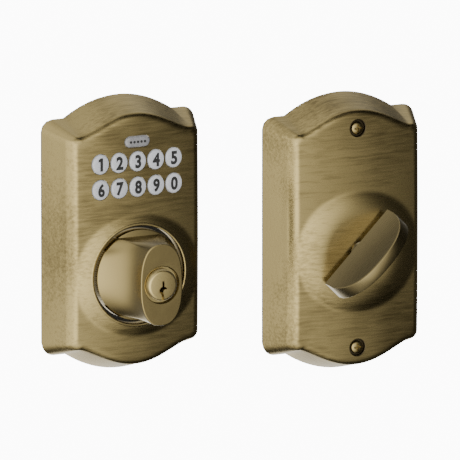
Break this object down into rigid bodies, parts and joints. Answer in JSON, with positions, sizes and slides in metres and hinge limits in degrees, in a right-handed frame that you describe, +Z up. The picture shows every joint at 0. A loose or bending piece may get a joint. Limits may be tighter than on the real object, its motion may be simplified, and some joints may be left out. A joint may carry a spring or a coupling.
{
  "type": "keypad smart lock",
  "caption": "Keypad deadbolt lock in antique brass: an outside unit with numbered keys, a turn and a key cylinder, and an inside thumbturn unit with its battery.",
  "frame": {"origin": "where the outside unit's spindle axis meets the plane that both units' door sides lie on", "axes": "+Y into the door along the spindle, +Z up, +X to the right as seen by someone facing the outside unit"},
  "size_m": [0.1879, 0.1016, 0.1381],
  "materials": {
    "housing_brass": "brushed antique brass, lacquered",
    "turn_brass": "satin antique brass",
    "screw_brass": "satin antique brass",
    "plug_brass": "fine turned brass",
    "key_silver": "satin silver coating with black digits",
    "steel": "zinc plated",
    "dark_steel": "black oxide",
    "battery_case": "printed foil jacket, plain",
    "rubber": "matt foam rubber",
    "silicone": "translucent grey silicone",
    "board_green": "solder mask",
    "black_plastic": "moulded"
  },
  "bodies": {
    "lock": {"outside_housing": "housing_brass", "outside_gasket": "rubber", "outside_back_plate": "steel", "back_plate_screw_1": "steel", "back_plate_screw_2": "steel", "back_plate_screw_3": "steel", "back_plate_screw_4": "steel", "keypad_mat": "silicone", "keypad_board": "board_green", "board_screw_left": "steel", "board_screw_right": "steel", "keypad_chip": "black_plastic", "sounder": "black_plastic", "cable_socket": "black_plastic", "turn_bearing": "black_plastic", "clutch_motor": "steel", "inside_cover": "housing_brass", "inside_plate": "dark_steel", "cover_screw_top": "screw_brass", "cover_screw_bottom": "screw_brass", "spring_washer": "steel", "battery": "battery_case", "battery_connector": "black_plastic", "battery_tray": "black_plastic", "inside_board": "board_green", "inside_cable_socket": "black_plastic", "inside_board_screw_left": "steel", "inside_board_screw_right": "steel", "through_bolt_left": "steel", "through_bolt_right": "steel"},
    "outside_turn": {"outside_turn": "turn_brass", "key_cylinder": "plug_brass", "turn_clip": "steel"},
    "plug": {"key_plug": "plug_brass", "plug_clip": "steel"},
    "collar": {"clutch_collar": "steel"},
    "fork": {"clutch_fork": "steel"},
    "tail": {"drive_hub": "steel", "tailpiece": "steel"},
    "thumbturn": {"thumbturn": "turn_brass", "thumb_hub": "steel", "thumbturn_clip": "steel"},
    "button_1": {"key_1": "key_silver"},
    "button_2": {"key_2": "key_silver"},
    "button_3": {"key_3": "key_silver"},
    "button_4": {"key_4": "key_silver"},
    "button_5": {"key_5": "key_silver"},
    "button_6": {"key_6": "key_silver"},
    "button_7": {"key_7": "key_silver"},
    "button_8": {"key_8": "key_silver"},
    "button_9": {"key_9": "key_silver"},
    "button_0": {"key_0": "key_silver"},
    "button_status": {"status_button": "key_silver"}
  },
  "joints": [
    {"name": "turn_spin", "type": "hinge", "parent": "lock", "child": "outside_turn", "pos_m": [0, 0, 0], "axis": [0, 1, 0], "continuous": true},
    {"name": "plug_turn", "type": "hinge", "parent": "outside_turn", "child": "plug", "pos_m": [0, 0, 0], "axis": [0, 1, 0], "range_deg": [-90, 90]},
    {"name": "clutch_slide", "type": "slide", "parent": "outside_turn", "child": "collar", "axis": [0, 1, 0], "range_m": [0, 0.0015], "stiffness_N_per_m": 200},
    {"name": "fork_slide", "type": "slide", "parent": "lock", "child": "fork", "axis": [0, 1, 0], "range_m": [0, 0.0015]},
    {"name": "thumb_turn", "type": "hinge", "parent": "lock", "child": "thumbturn", "pos_m": [0.1113, 0, 0], "axis": [0, 1, 0], "range_deg": [-45, 45]},
    {"name": "tail_turn", "type": "hinge", "parent": "lock", "child": "tail", "pos_m": [0, 0, 0], "axis": [0, 1, 0], "range_deg": [-45, 45]},
    {"name": "key_1_press", "type": "slide", "parent": "lock", "child": "button_1", "axis": [0, 1, 0], "range_m": [0, 0.001], "stiffness_N_per_m": 400},
    {"name": "key_2_press", "type": "slide", "parent": "lock", "child": "button_2", "axis": [0, 1, 0], "range_m": [0, 0.001], "stiffness_N_per_m": 400},
    {"name": "key_3_press", "type": "slide", "parent": "lock", "child": "button_3", "axis": [0, 1, 0], "range_m": [0, 0.001], "stiffness_N_per_m": 400},
    {"name": "key_4_press", "type": "slide", "parent": "lock", "child": "button_4", "axis": [0, 1, 0], "range_m": [0, 0.001], "stiffness_N_per_m": 400},
    {"name": "key_5_press", "type": "slide", "parent": "lock", "child": "button_5", "axis": [0, 1, 0], "range_m": [0, 0.001], "stiffness_N_per_m": 400},
    {"name": "key_6_press", "type": "slide", "parent": "lock", "child": "button_6", "axis": [0, 1, 0], "range_m": [0, 0.001], "stiffness_N_per_m": 400},
    {"name": "key_7_press", "type": "slide", "parent": "lock", "child": "button_7", "axis": [0, 1, 0], "range_m": [0, 0.001], "stiffness_N_per_m": 400},
    {"name": "key_8_press", "type": "slide", "parent": "lock", "child": "button_8", "axis": [0, 1, 0], "range_m": [0, 0.001], "stiffness_N_per_m": 400},
    {"name": "key_9_press", "type": "slide", "parent": "lock", "child": "button_9", "axis": [0, 1, 0], "range_m": [0, 0.001], "stiffness_N_per_m": 400},
    {"name": "key_0_press", "type": "slide", "parent": "lock", "child": "button_0", "axis": [0, 1, 0], "range_m": [0, 0.001], "stiffness_N_per_m": 400},
    {"name": "status_press", "type": "slide", "parent": "lock", "child": "button_status", "axis": [0, 1, 0], "range_m": [0, 0.001], "stiffness_N_per_m": 400}
  ],
  "couplings": [
    {"joint": "tail_turn", "follows": "thumb_turn", "ratio": -1},
    {"joint": "fork_slide", "follows": "clutch_slide", "ratio": 1}
  ]
}
